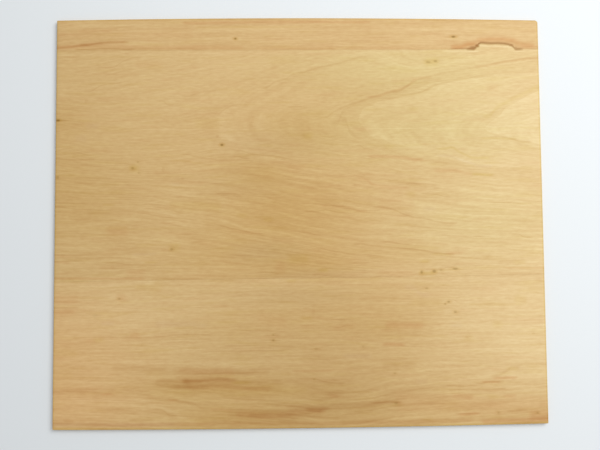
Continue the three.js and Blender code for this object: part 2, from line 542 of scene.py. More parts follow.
class Graph:
    """The node tree of one material. Its x, y and z are millimetres in the CAD frame."""

    def __init__(self, name):
        self.material = bpy.data.materials.new(name)
        self.material.use_nodes = True
        self.tree = self.material.node_tree
        self.shader = self.tree.nodes["Principled BSDF"]
        place = self.node("ShaderNodeTexCoord").outputs["Object"]
        scaled = self.node("ShaderNodeVectorMath", {0: place, "Scale": 1 / MM}, operation="SCALE")
        axes = self.node("ShaderNodeSeparateXYZ", {0: scaled.outputs["Vector"]})
        self.x, self.y, self.z = (Field(self, axes.outputs[axis]) for axis in "XYZ")
        self.wavy_y = self.y

    def node(self, kind, inputs=None, **settings):
        made = self.tree.nodes.new(kind)
        for setting, value in settings.items():
            setattr(made, setting, value)
        for name, value in (inputs or {}).items():
            self.feed(made.inputs[name], value)
        return made

    def feed(self, socket, value):
        if isinstance(value, Field):
            value = value.socket
        if isinstance(value, bpy.types.NodeSocket):
            self.tree.links.new(value, socket)
        else:
            socket.default_value = value

    def maths(self, operation, *values, clamp=False):
        inputs = dict(enumerate(values))
        made = self.node("ShaderNodeMath", inputs, operation=operation, use_clamp=clamp)
        return Field(self, made.outputs[0])

    def noise(self, x, y, size, z, detail=2.0, rough=0.5):
        """Fractal noise about zero, its largest grain of the given size in x and in y."""
        place = self.node("ShaderNodeCombineXYZ", {"X": x / size[0], "Y": y / size[1], "Z": z})
        inputs = {"Vector": place.outputs[0], "Scale": 1.0, "Detail": detail}
        made = self.node("ShaderNodeTexNoise", {**inputs, "Roughness": rough})
        return Field(self, made.outputs["Fac"]) - 0.5

    def sway(self, size, seed, depth):
        """Makes the marks laid from here on sway across the grain, and gives the sway."""
        sway = self.noise(self.x, self.y, size, seed)
        self.wavy_y = self.y + sway * depth
        return sway

    def ramp(self, value, low, high, top=1.0):
        """Nought at low and top at high, smooth between them and flat outside."""
        inputs = {"Value": value, "From Min": low, "From Max": high, "To Max": top}
        made = self.node("ShaderNodeMapRange", inputs, interpolation_type="SMOOTHSTEP")
        return Field(self, made.outputs["Result"])

    def shape(self, curve, points):
        """Draws one curve of a node through points between nought and one, in order of x."""
        curve.points[0].location = points[0]
        curve.points[-1].location = points[-1]
        for point in points[1:-1]:
            curve.points.new(*point)
        for point in curve.points:
            point.handle_type = "AUTO_CLAMPED"

    def curve(self, x, points):
        """A smooth curve through points in order of x, level beyond its ends."""
        first, last = points[0][0], points[-1][0]
        low, high = min(y for _, y in points), max(y for _, y in points)
        along = self.maths("SUBTRACT", x, first) * (1 / (last - first))
        made = self.node("ShaderNodeFloatCurve", {"Value": along})
        made.mapping.extend = "HORIZONTAL"
        fitted = [((px - first) / (last - first), (py - low) / (high - low)) for px, py in points]
        self.shape(made.mapping.curves[0], fitted)
        made.mapping.update()
        return self.maths("MULTIPLY_ADD", made.outputs[0], high - low, low)

    def lane(self, stations):
        """Marks one after the other, through stations of x, y, half width and strength."""
        first, last = stations[0][0], stations[-1][0]
        low = min(y for _, y, _, _ in stations) - LANE_MARGIN
        span = max(y for _, y, _, _ in stations) + LANE_MARGIN - low
        along = self.maths("MULTIPLY", self.x - first, 1 / (last - first), clamp=True)
        made = self.node("ShaderNodeRGBCurve", {"Color": along})
        curves = [[], [], []]
        for x, y, half, strength in stations:
            values = ((y - low) / span, half / WIDEST_MARK, strength)
            for curve, value in zip(curves, values):
                curve.append(((x - first) / (last - first), value))
        for channel, curve in enumerate(curves):
            self.shape(made.mapping.curves[channel], curve)
        made.mapping.update()
        parts = self.node("ShaderNodeSeparateColor", {0: made.outputs["Color"]})
        middle, half, strength = (Field(self, socket) for socket in parts.outputs)
        away = (self.wavy_y - self.maths("MULTIPLY_ADD", middle, span, low)) / (half * WIDEST_MARK)
        within = self.maths("SUBTRACT", 1.0, away * away, clamp=True)
        return within * within * strength

    def marks(self, marks):
        """The sum of soft marks in the wood. Those that follow each other in x share a lane."""
        lanes = []
        for half, strength, *line in sorted(marks, key=lambda mark: mark[2]):
            points = list(zip(line[::2], line[1::2]))
            (first_x, first_y), (last_x, last_y) = points[0], points[-1]
            stations = [(first_x - TAPER, first_y, half, 0)]
            stations += [(x, y, half, strength) for x, y in points]
            stations.append((last_x + TAPER, last_y, half, 0))
            free = [lane for lane in lanes if lane[-1][0] + LANE_GAP < first_x - TAPER]
            if free:
                free[0].extend(stations)
            else:
                lanes.append(stations)
        return sum(self.lane(lane) for lane in lanes)

    def reach(self, x, y, half_x, half_y):
        """How far a point lies from the middle of an oval, one at its rim."""
        place = self.node("ShaderNodeCombineXYZ", {"X": self.x, "Y": self.y})
        scale, shift = (1 / half_x, 1 / half_y, 0), (-x / half_x, -y / half_y, 0)
        inputs = {0: place.outputs[0], 1: scale, 2: shift}
        scaled = self.node("ShaderNodeVectorMath", inputs, operation="MULTIPLY_ADD")
        length = self.node("ShaderNodeVectorMath", {0: scaled.outputs[0]}, operation="LENGTH")
        return Field(self, length.outputs["Value"])

    def ovals(self, ovals):
        """The strongest of several oval spots, each soft from its middle to its rim."""
        total = 0.0
        for *oval, strength in ovals:
            spot = self.ramp(self.reach(*oval), *OVAL_FADE, strength)
            total = self.maths("MAXIMUM", total, spot)
        return total

    def patches(self, ovals):
        """The sum of several broad patches, each fading from its middle on."""
        return sum(self.ramp(self.reach(*oval), 1.0, 0.0, strength) for *oval, strength in ovals)

    def mix(self, amount, base, colour, blend="MIX"):
        inputs = {MIX_FACTOR: amount, MIX_A: base, MIX_B: colour}
        settings = {"data_type": "RGBA", "blend_type": blend, "clamp_factor": False}
        made = self.node("ShaderNodeMix", inputs, **settings)
        return Field(self, made.outputs[MIX_RESULT])

    def tint(self, amount, base, pigment):
        """The base colour under an amount of pigment, which multiplies it."""
        return self.mix(amount, base, pigment, "MULTIPLY")

    def finish(self, colour, roughness, height, bump_depth):
        """Puts colour, roughness and a bump of the given depth in millimetres on the shader."""
        bump = self.node("ShaderNodeBump", {"Height": height, "Distance": bump_depth * MM})
        self.feed(self.shader.inputs["Base Color"], colour)
        self.feed(self.shader.inputs["Roughness"], roughness)
        self.feed(self.shader.inputs["Normal"], bump.outputs["Normal"])
        self.feed(self.shader.inputs["Specular IOR Level"], GLOSS)
        return self.material


# ---- Wood.

# Linear colours. All but the wood's own and the knots' cores multiply what they lie on.
WOOD = (0.66, 0.46, 0.203, 1)
BROWN = (0.74, 0.58, 0.40, 1)
RED = (0.90, 0.74, 0.65, 1)
ORANGE = (0.90, 0.73, 0.60, 1)
OLIVE = (0.90, 0.86, 0.60, 1)
LILAC = (0.97, 0.97, 1.14, 1)
PALE = (1.10, 1.16, 1.28, 1)
# A warm brown: the wood's own tone, and over the middle of the sheet also painted shadow.
WARM_TONE_AND_SHADE = (0.86, 0.78, 0.58, 1)
YELLOW = (0.955, 1.03, 0.96, 1)
GLOW = (1.12, 1.03, 1.03, 1)
# A neutral grey for painted shadow, laid over the middle of the sheet towards its near edge.
PAINTED_SHADE_GREY = (0.88, 0.88, 0.92, 1)
BITE_STAIN = (0.54, 0.38, 0.19, 1)
KNOT_HALO = (0.84, 0.74, 0.46, 1)
KNOT_CORE = (0.22, 0.115, 0.01, 1)

# Length and width of the grains of each noise in the wood. The figure of sliced wood is broad
# uneven late wood with thin lines beside each other, and its hue drifts slowly.
BROAD_FIGURE = (55, 3.6)
THIN_FIGURE = (30, 1.3)
HUE_DRIFT = (26, 3.2)
FIBRE = (14, 0.35)
FLECK = (4.5, 1.1)
PORE = (1.6, 0.09)
BAND_GRAIN = (0.5, 0.5)
WIDE_SWAY = (22, 9)
NARROW_SWAY = (30, 9)
LOWER_SWAY = (26, 9)
BACK_WARP = (90, 12)
BACK_WARP_DEPTH = 5

# Seeds that no leaf's own noises use. The first two are added to another seed.
THIN_SEED = 5
FLECK_SEED = 3
BACK_SEED = 11
HUE_SEED = 21

# How much brown the plain wood and the cross band have, and how far the hue of the plain wood
# drifts to red and to olive.
PLAIN_BROWN = 0.22
BAND_BROWN = 0.5
DRIFT_SPAN = 0.25
DRIFT_RED = 0.22
DRIFT_OLIVE = 0.30

# How strongly fibres, flecks, pores, the rim, spots and knots colour the wood.
FIBRE_TINT = 0.4
FLECK_TINT = 0.75
PORE_TINT = 0.3
RIM_TINT = 0.8
SPOT_TINT = 0.5
HALO_TINT = 0.7
CORE_TINT = 0.75

# The noise at which a pore starts and is full, the width of the darker rim along the sawn edges,
# and how much larger than its core a knot's halo is, along and across the grain.
PORE_START, PORE_FULL = 0.17, 0.27
RIM_WIDTH = 1.3
HALO_LENGTH, HALO_WIDTH = 2.4, 2.0

# The roughness of veneer, and what its fibres and its figure add to it. How high the fibres
# stand and how deep pores and figure lie, as shares of the bump, which is in millimetres.
VENEER_ROUGHNESS, FIBRE_ROUGHNESS, FIGURE_ROUGHNESS = 0.58, 0.10, 0.05
FIBRE_RISE, PORE_DEPTH, FIGURE_DEPTH = 0.6, 0.8, 0.3
VENEER_BUMP = 0.02
BAND_BUMP = 0.03
BAND_ROUGHNESS = 0.7

# The pigment of each kind of mark, and how much of it a mark of strength one lays down.
PIGMENTS = {
    "brown": (BROWN, 0.546),
    "red": (RED, 0.715),
    "olive": (OLIVE, 0.715),
    "pale": (PALE, 0.546),
    "lilac": (LILAC, 0.6),
}

# The marks in each leaf, by pigment. A mark is its half width, its strength, and
# x and y of each point of its middle line.
NARROW_MARKS = {"brown": [
    (1.1, 0.5, -152, 107.8, -142, 108.2, -134, 109),
    (1, 0.9, -132, 109.4, -123, 110.6, -116, 111, -110, 111),
    (0.7, 0.8, -134, 106.5, -120, 107, -106, 106.6), (0.5, 0.4, -130, 119.6, -117, 119.6, -105, 121),
    (1.2, 0.32, -152, 106, -110, 106.2, -60, 106.6), (1.2, 0.16, -44, 106.6, 0, 106.6, 20, 106.6),
    (0.5, 0.6, 93, 114, 97, 114.3), (0.5, 0.45, 140, 106.7, 152, 106.7),
], "red": [
    (2.2, 0.55, -152, 107.4, -120, 108.4, -90, 107.6, -60, 107.6, -38, 107.4),
    (2.2, 0.3, -24, 107.2, 0, 107.2, 20, 107.1), (2, 0.16, 34, 107, 88, 107),
    (1.8, 0.5, -152, 108, -125, 110.2, -110, 111), (1.4, 0.8, -70, 123.2, 0, 123.8, 40, 123.6),
    (1.6, 0.35, -134, 118, -120, 118.4), (5, 0.28, -152, 115, -110, 116, -70, 116),
    (2, 0.5, 142, 108.6, 152, 108),
], "olive": [
    (0.9, 0.4, -60, 120.3, 0, 120.6), (1.6, 0.2, 100, 121, 130, 120, 152, 119),
], "pale": [
    (0.8, 0.7, 94, 116.4), (0.9, 0.6, 95, 119), (0.6, 0.4, -136, 110.8, -126, 112.2),
]}
WIDE_MARKS = {"brown": [
    (0.5, 0.75, -152, 62.2, -144, 62.2), (0.5, 0.4, -150, 69.3, -141, 69.3),
    (0.6, 0.47, -131, 80, -123, 83.7, -112, 85.6), (0.6, 0.4, -118, 95, -108, 99.5, -100, 101.6),
    (0.7, 0.3, -116, 91, -108, 93), (0.6, 0.35, -70, 77, -62, 79.2, -54, 80.2),
    (0.7, 0.32, -86, 74.4, -80, 71.5), (1, 0.42, -22, 82.4, -15, 86, -9, 87.7, -4, 90.6, 4, 92.5,
    12, 95, 22, 97, 30, 99.3, 40, 101.5), (1, 0.35, 16.5, 63.5, 19, 65.5, 25, 69, 31, 71.5, 38, 73.7,
    48, 77, 58, 79.6), (1.2, 0.44, 60, 80, 66, 82.6, 75, 87.3, 85, 90.2, 100, 93, 112, 95, 125, 97.8,
    132, 99, 152, 100.6), (2.6, 0.3, 22, 60, 26, 66, 32, 71, 42, 74.4, 52, 77, 62, 80, 72, 83.6,
    84, 87), (3, 0.35, 28, 62, 30, 56, 36, 52), (0.5, 0.4, 36, 77, 44, 78.2),
    (1, 0.36, 55, 75.5, 66, 77.5, 76, 79.4, 84, 83.3, 92, 85.5, 104, 88, 117, 89.6),
    (0.8, 0.5, -5, 70.2, -1, 70.5), (0.8, 0.39, -50, 66, -48, 68, -44, 70.2, -39, 71.6),
    (0.7, 0.52, 122, 51, 128, 50.4, 133, 49.3, 140, 47.8), (0.8, 0.45, 37, 45.8, 40, 44.2),
    (0.6, 0.5, -136, 41.8, -130, 40.6), (0.6, 0.34, -152, 38.9, -144, 38, -138, 37.6, -130, 38,
    -122, 37.8, -112, 36.8), (0.6, 0.45, -132, 34.4, -122, 33.5), (0.6, 0.5, -111, 35.4, -105, 35),
    (0.6, 0.4, -113, 31.8, -105, 31.4), (0.8, 0.5, -143, 30.5),
    (0.8, 0.4, -134, 26.6, -125, 26.4, -117, 26.3),
    (0.7, 0.35, -134, 23.4, -125, 23.5, -116, 22.6, -106, 22.3),
    (0.5, 0.33, -150, 13.4, -130, 13.3, -105, 13.2, -90, 12.4), (0.5, 0.45, -150, 11, -130, 10.9,
    -118, 10.7, -106, 10.4, -90, 10, -80, 9.4), (0.6, 0.45, -150, 8.7, -137, 7.5, -122, 6.9, -114, 6,
    -106, 5.8, -94, 4.2, -88, 2.8, -80, 1.8, -73, 1.4, -66, 0.8),
    (0.5, 0.4, -95, 15.2, -82, 14.8, -66, 14.2),
    (0.5, 0.42, -92, 29.2, -86, 29.2, -75, 28.7, -68, 28.2),
    (0.6, 0.47, -71, 40.7, -64, 39.2, -56, 38.2), (0.5, 0.45, -60, 23.6, -50, 22.6),
    (0.7, 0.7, -49, 16.4, -42, 16.4), (0.6, 0.47, -37, 42.8, -32, 41.3, -27, 40.4, -19, 39.8, -8, 37.9,
    -3, 36.7, 4, 36), (0.6, 0.7, -39, 39.4, -34, 38.3), (0.5, 0.45, -3, 28, 3, 27.3),
    (0.5, 0.45, -10, 25.2, -4, 24.6), (0.6, 0.4, 10, 12.8, 18, 12.4),
    (0.6, 0.54, 3, 10.2, 9, 10, 14, 9.4, 19, 8.9, 25, 8),
    (0.5, 0.56, 5, 5, 9, 5.1, 16, 6, 20, 5.1, 25, 4.2), (0.5, 0.5, 28, 6.8, 33, 6.2, 38, 5.5, 44, 5.7),
    (0.9, 0.55, 48, 7.6, 52, 7, 57, 6, 62, 3.6, 66, 2.2, 70, 1.2, 76, 0.4, 84, -1.6, 92, -2.6),
    (0.5, 0.75, 69, 22.2, 74, 21.8), (0.6, 0.55, 52, 24.8, 57, 23.8), (0.5, 0.4, 70, 25, 80, 25),
    (0.6, 0.57, 77, 15.8, 82, 15.4, 86, 14.6, 90, 13.6), (0.6, 0.5, 85, 19, 89, 18.4),
    (0.7, 0.5, 86, 35.2, 91, 34.7), (0.5, 0.4, 103, 30.8, 109, 30.4),
    (0.6, 0.5, 120, 9.8, 130, 9.7, 139, 9.4), (0.5, 0.55, 109, -11, 114, -11.2),
    (0.6, 0.55, 134, -9.8, 139, -11.8), (0.6, 0.62, -48, -3.4, -44, -4.6, -39, -5.6, -33, -7,
    -26, -8.4), (0.5, 0.45, 6, -4, 12, -4.6), (0.5, 0.4, 4, -8, 10, -9.4),
    (0.6, 0.5, 11, -17.6, 17, -18.8, 25, -20, 30, -20.9, 36, -21.4, 42, -22, 50, -22.8),
    (0.5, 0.55, 35, -26.8, 40, -26.7), (0.9, 0.63, 36, -14.8, 42, -15.8, 50, -16.8, 57, -17.2, 64, -18,
    71, -18.8, 78, -20, 84, -21.2, 90, -21.8), (0.6, 0.6, 52, -13.9, 58, -14.6, 65, -15.5),
    (0.5, 0.7, 69, -12.7, 73, -12.7), (0.6, 0.47, 101, -24.2, 107, -24.4, 113, -25),
    (0.6, 0.37, -150, -7.4, -140, -7.5, -131, -7.7), (0.6, 0.53, -152, -20.4, -142, -20.4, -133, -20.6),
    (0.6, 0.53, -152, -24.4, -143, -24.4, -135, -24.3), (0.6, 0.5, -122, -22.3, -112, -22.4, -103, -23),
    (0.6, 0.54, -118, -25.1, -110, -25.8, -105, -26.6, -97, -26.9, -88, -27.2),
    (0.5, 0.38, -120, -28.9, -106, -29.2, -97, -30, -86, -29.2, -70, -29.2),
    (0.5, 0.45, -120, -32.2, -112, -32.4), (0.6, 0.4, 125, -34.3, 140, -34.3, 152, -34.2),
    (0.8, 0.4, -23, -31.8, -19, -32.2), (1.4, 0.4, -92, -36, -40, -35.8, 20, -35.4, 60, -35.2),
    (0.6, 0.45, -37, -21.8, -32, -21.7), (0.6, 0.5, -28, -28.4, -22, -28.3),
    (0.8, 0.5, 10, -33.6, 15, -34.2, 21, -34.4), (0.6, 0.5, -71, -8.3, -66, -8.3),
    (0.7, 0.7, -64, -13.3), (0.6, 0.45, -62, -17.3, -55, -18), (0.5, 0.55, 87, -30.8, 90, -29.8),
], "red": [
    (3.5, 0.3, -98, 97, -88, 97), (1.8, 0.38, 60, 86.4, 70, 87.6),
    (1.5, 0.55, 44, 76.4, 56, 79.6, 66, 82.4, 78, 88.4),
    (1.5, 0.45, 112, 95.2, 122, 97, 131, 98.7, 152, 100.6), (4.5, 0.35, 120, 81.5),
    (2.4, 0.5, 36, 55.6, 41, 56), (5, 0.5, -116, -6.5, -108, -6.6), (4, 0.45, -104, -32, -98, -32),
    (2.2, 0.4, -5, 33.2, 1, 33), (2.2, 0.53, 86, 30.4, 94, 30.4, 99, 29.4, 104, 28),
    (11, 0.25, 52, 10, 66, 8), (6.5, 0.45, -13, -29), (3.2, 0.38, 50, -33, 57, -33.4, 66, -33.6),
    (1.6, 0.55, 92, -21.2, 98, -20.8), (1.2, 0.5, 37, 5.2), (1, 0.5, 14, 8.6), (1, 0.5, 78, 46.6),
    (1.5, 0.53, 38, 25, 45, 21.5, 52, 20, 64, 19.3), (1.7, 0.77, 46, 39, 55, 38.8, 65, 38, 72, 37),
    (0.6, 0.63, 128, -30.4, 138, -30.6, 152, -30.6), (1.2, 0.74, -152, -34.8, -130, -34.9, -118, -35,
    -110, -35.2, -98, -35.4), (1.6, 0.4, -152, -20.6, -143, -21.6), (1.6, 0.4, -152, -25, -143, -25),
], "olive": [
    (4.4, 0.75, 81, 98.5, 84, 98.7), (3.5, 0.8, 4.5, 52), (1, 0.67, 115, 50, 123, 50, 130, 49.6),
    (2.2, 0.48, 117, 64, 122, 68.6, 128, 72.2, 134, 75.2, 142, 78.8, 152, 83),
    (1.3, 0.68, 88, 43.6, 94, 44.4, 98, 42.2, 103, 39.6, 107, 38, 113, 37.8),
    (1.4, 1, 109, 27.6, 113, 27.4, 117, 27.2), (1, 0.47, -77, 37.2, -70, 36.6, -63, 35.4),
    (1.2, 0.6, -117, 10), (1, 0.4, -54, 26.5, -47, 27.2), (1.8, 0.6, -36, 3), (2.4, 0.7, -20, 0.2),
    (4.8, 0.47, -76, 9.4, -62, 9, -52, 8.4), (4.8, 0.7, -5, -24, 2, -24), (1.7, 0.9, 76, -26),
    (1.9, 1, 75, -33.6, 80, -33.4), (1.2, 0.6, 84, -21.6, 90, -22.2), (4.2, 0.6, -77, -16.4),
    (1.2, 0.6, -91, -25.4), (3.6, 0.9, -102, 32.6), (1.9, 1, 13.5, -31), (2, 0.5, 134, -27),
    (2.4, 0.35, 55, 44.6), (2, 0.5, 70.5, 68.5), (3, 0.6, 68, 15.6), (6, 0.33, -62, 60, -52, 59),
], "pale": [
    (1.8, 0.5, -152, 103.6, -60, 104, 40, 104.4, 92, 104.4),
    (0.6, 0.4, -150, 9.7, -120, 9.3, -106, 8.8, -92, 8.6),
    (0.6, 0.39, -150, 12.2, -125, 12.1, -105, 11.8, -90, 11.3),
    (0.7, 0.64, -100, 6.8, -92, 6, -86, 4.8, -81, 3.8, -72, 3.4), (0.6, 0.55, -74, 16.3, -66, 16),
    (0.6, 0.53, -49, 15, -44, 14.4, -38, 13.8), (0.6, 0.47, -38, 44.4, -33, 43, -29, 42.4),
    (0.6, 0.43, -24, 39, -18, 38.4, -12, 36.6), (0.5, 0.5, -2, 26.4, 4, 25.6),
    (0.5, 0.45, -3, 23.1, 3, 22.8), (0.6, 0.47, 4, 8.8, 11, 8.4, 17, 7.6),
    (0.9, 0.82, -46, -1.4, -42, -2.2, -38, -3.8, -34, -5.2, -29, -6.2),
    (2.2, 0.62, 46, 52, 54, 49, 64, 46, 74, 44, 84, 40.4, 92, 38.2, 99, 36.2, 104, 34.2, 112, 32.6,
    120, 32.4, 127, 32), (0.7, 0.5, 124, 8, 132, 8.1, 139, 8), (0.6, 0.5, 124, 10.9, 136, 10.7),
    (0.6, 0.5, 80, 17.4, 84, 17), (2, 0.42, 88, 84, 100, 85.6, 112, 87, 124, 89.4),
    (2, 0.6, -46.5, 52, -43, 50.2), (1, 0.9, 116.4, 24), (1, 0.8, 121.5, 24),
    (1.4, 0.6, -77, 32.6, -71, 32.6), (0.9, 0.7, 48.5, 43), (1, 0.9, 83.4, 98.8),
], "lilac": [
    (2.4, 0.6, -127, 58.5), (3.4, 0.5, -134, 51), (2.2, 0.5, -77, 22.4),
    (1.3, 0.55, -100, -20.4, -91, -20.2), (2, 0.5, 79, 6.2),
    (1.6, 0.57, 88, 39.6, 97, 37.6, 106, 34.6, 115, 32.6),
]}
LOWER_MARKS = {"brown": [
    (0.6, 0.83, -151, -52.5, -144, -52.5, -138, -52.5), (0.5, 0.4, -150, -58, -144, -57.8),
    (0.7, 0.62, -134, -70.6, -126, -70.4, -118, -70.6, -105, -70.8),
    (0.6, 0.57, -86, -70.2, -78, -69.6, -68, -69.4, -58, -69.5),
    (0.5, 0.47, -76, -72.2, -64, -72.2, -57, -72.3), (0.6, 0.45, -52, -52.6, -46, -52.4),
    (0.5, 0.6, -20, -69.9, -17, -70), (0.5, 0.55, -20, -73.1, -17, -73.3),
    (0.5, 0.45, -44, -76.3, -30, -76.4, -18, -76.6, -8, -77),
    (0.6, 0.47, -42, -79.6, -28, -79.4, -12, -79.6), (0.5, 0.4, -34, -67.2, -22, -67.4),
    (0.5, 0.5, 20, -61, 28, -61), (0.7, 0.5, 22, -66, 28, -64.8), (0.7, 0.5, 52, -67.6, 58, -67.8),
    (0.6, 0.45, 93, -49.4, 96, -51), (3.4, 0.5, -112, -89.6, -98, -89.8, -84, -90),
    (3.2, 0.5, -74, -91.2, -60, -91.8, -40, -92.2, -24, -92),
    (0.8, 0.4, -112, -92.8, -80, -93, -50, -92.8, -24, -92.6), (1.6, 0.6, -84, -96.9, -73, -97.3),
    (1.6, 0.95, -69, -97.3, -62.5, -97.3), (1.4, 0.65, -58, -96.8, -50, -96.2, -42, -96.5),
    (1.7, 0.6, -76, -100.6, -66, -101, -57, -100.8),
    (4.6, 0.5, -68, -98.6, -52, -98.6, -40, -99.6, -16, -100.6), (4.6, 0.3, -84, -98, -70, -98.4),
    (2.6, 0.35, -152, -102.6, -130, -103, -104, -103.8, -94, -105), (1.4, 0.5, -90, -106.4, -80, -107.6,
    -73, -109.3, -65, -111.2, -58, -113.6), (0.9, 0.4, -124, -112.8, -114, -113.4, -104, -113.2),
    (0.9, 0.45, -86, -114, -78, -118), (4.4, 0.5, -42, -116.4, -26, -118.2, -8, -118, 10, -117.4),
    (1.6, 0.45, -30, -118, -24, -118.2), (1.6, 0.4, -13, -118.6, -8, -118.4),
    (1.9, 0.8, 5, -115.2, 9.6, -115.6, 14, -115), (2.6, 0.45, -6, -114.4, 16, -113.4, 30, -112.4,
    44, -112, 58, -111.6), (0.9, 0.7, 45, -111.6, 52, -111.3, 58, -111.6),
    (0.8, 0.5, 0, -96.4, 7, -96.6, 14, -98.6, 24, -99.6), (2.2, 0.4, 17, -106, 22, -106),
    (1.8, 0.3, 31, -90.4, 48, -90.6), (1, 0.45, 76, -112.6, 84, -112.4),
    (0.6, 0.45, 78, -92.9, 87, -93), (0.8, 0.8, 91, -101.9, 98, -102, 104, -101.7),
    (1.1, 0.6, 109, -100.6, 113, -99.8, 119, -99.7), (0.9, 0.6, 91, -104.3, 110, -104.3, 120, -104.1),
    (1.5, 0.35, 118, -96.4, 122, -95, 126, -92.8, 129, -91), (0.7, 0.35, 96, -90.4, 106, -90.2),
    (1, 0.6, 128, -117.6, 133, -117.2), (0.6, 0.55, 96, -118.6, 104, -118.7), (1.2, 0.5, -139, -120.3),
    (1.2, 0.5, -100, -120, -92, -120), (6, 0.28, 52, -106, 70, -106, 84, -107),
    (5, 0.35, 52, -89, 66, -89), (2, 0.48, -152, -122.6, -60, -123, 0, -123, 60, -122.6, 152, -122),
], "red": [
    (4, 0.45, -151, -47, -138, -47), (2.6, 0.5, -151, -55, -140, -55), (4, 0.5, -109, -47),
    (3, 0.6, -101, -69.6), (2, 0.5, -128, -72.6), (6, 0.32, -24, -60, -12, -62),
    (3.5, 0.73, 54, -65, 62, -65, 72, -65), (1.8, 0.9, 52, -76.4, 60, -76.6),
    (2.6, 0.4, 21, -66, 30, -65), (4.4, 0.45, -72, -96.4, -60, -96.6, -44, -97.4),
    (3, 0.5, -70, -91, -56, -91.4, -44, -92), (3, 0.4, -66, -101, -40, -101.6, -22, -102.6),
    (1.8, 0.5, -125, -122.6, -90, -122.8, -55, -122.9), (1, 0.8, -117, -104.7), (1, 0.8, -78, -108.5),
    (1.6, 0.55, -51, -114.2, -44, -115), (3.4, 0.6, -36, -117.4, -24, -118.2, -12, -118, -2, -116.6,
    10, -116), (1.8, 0.6, 19, -107), (1.2, 0.5, -2, -92, 6, -92, 16, -91.8),
    (1.6, 1, 119.5, -97.8, 127, -97.4), (1.2, 0.95, 112, -99.8, 118, -100),
    (2.4, 0.6, 94, -107.8, 102, -108.4), (2, 0.6, 126, -108.6), (1.6, 0.9, 98, -119.2, 105, -118.7),
    (4.6, 0.9, 141, -120, 147, -120, 152, -120),
    (2.2, 1, 112, -123.6, 124, -123.2, 132, -123.2, 152, -122.8), (1.8, 0.44, -40, -122.8, -20, -123,
    20, -123.4, 60, -123.2, 100, -123), (8, 0.47, 60, -112, 90, -113, 120, -114, 152, -113),
], "olive": [
    (1.6, 0.9, -39, -98.3, -34, -98.3), (4, 0.3, -28, -103, 0, -103.6),
    (3, 0.4, -98, -40.4, -88, -41.8), (1.8, 0.7, 3, -60), (1.4, 0.7, -6, -37.5), (4.5, 0.5, 134, -50),
    (4, 0.5, 120, -65), (3.4, 0.4, 102, -73), (1.2, 0.8, 76, -122), (2.4, 0.6, -123, -72),
    (3.5, 0.3, -148, -80, -138, -80), (2, 0.6, 128, -92), (2.2, 0.4, 116, -109.2),
    (4, 0.35, 70, -51.6, 84, -51.6),
], "pale": [
    (2.6, 0.8, -152, -38.4, -110, -38.4, -92, -38.4), (2.6, 0.5, -78, -38.4, -60, -38.4),
    (2.6, 0.2, -44, -38.4, 0, -38, 34, -38), (2.6, 0.55, 50, -38, 60, -38, 110, -37.4, 152, -37.2),
    (0.7, 0.8, -93, -38.3), (2.4, 0.5, -116, -46.4), (1.3, 0.65, 0, -53.2, 4, -53),
    (0.8, 0.6, 2.5, -56.6), (0.7, 1, 22.5, -60), (1.3, 0.5, 18.5, -57), (1, 0.6, -5, -59.5),
    (1.8, 1, 90.5, -57.2), (2.4, 0.44, -152, -85, -128, -85.2, -104, -85.4, -82, -85, -60, -86.6,
    -44, -87, -20, -86.6, 10, -87, 30, -85), (1.5, 0.8, -134, -107.6, -117, -108.4, -94, -108.6),
    (2, 0.9, -88, -111.4, -80, -114.8, -72, -118.6, -66, -121.6), (2.2, 0.65, -63, -106.6, -56, -105.8,
    -47, -108.4, -33, -109.3, -14, -109.4, 6, -110.2), (0.6, 0.6, -74, -98.8, -66, -99, -58, -98.8),
    (0.6, 0.7, 17, -94), (1, 0.4, 20, -101.6), (0.7, 0.75, 92, -103.4, 100, -103.4, 107, -103.2,
    114, -102.4, 124, -102.6, 136, -102.4), (2.6, 0.53, 92, -97.6, 102, -97.6, 110, -96, 116, -94.4),
    (2, 0.8, 128, -95), (2.2, 0.45, 62, -111.2, 68, -111), (1.4, 0.6, 0, -122.4, 20, -122.4),
    (0.8, 0.5, 128, -119.8),
], "lilac": [
    (2.6, 0.6, -117, -62.5), (3.4, 0.5, -86, -62.8, -72, -62.8, -60, -63.6),
    (2.6, 0.55, 66, -42, 76, -46.6), (2.4, 0.6, 94, -65), (2.4, 0.6, 28, -83.2, 40, -83.4),
    (1.6, 0.6, -152, -122.4, -120, -122.6, -80, -122.8), (2.6, 0.4, 72, -99),
]}

# Small ovals: centre, half sizes along and across the grain, and strength.
WIDE_SPOTS = [
    (-72.5, 26, 1.3, 0.9, 0.5), (-142, 75, 1.4, 1.1, 0.3), (-131.5, 74.3, 1.4, 1.1, 0.4),
    (-84.2, 31.8, 1.1, 1.7, 0.35), (-74.2, 31.4, 1.2, 0.8, 0.4), (-51, 52, 1.1, 0.9, 0.5),
    (33.6, 21.4, 1.2, 0.8, 0.4),
]
LOWER_SPOTS = [
    (2, -54.2, 1.9, 0.8, 0.4), (7.4, -57, 1.2, 4, 0.25), (101.2, -73, 1.3, 1, 0.3),
    (142.2, -70.6, 1.2, 0.9, 0.4),
]
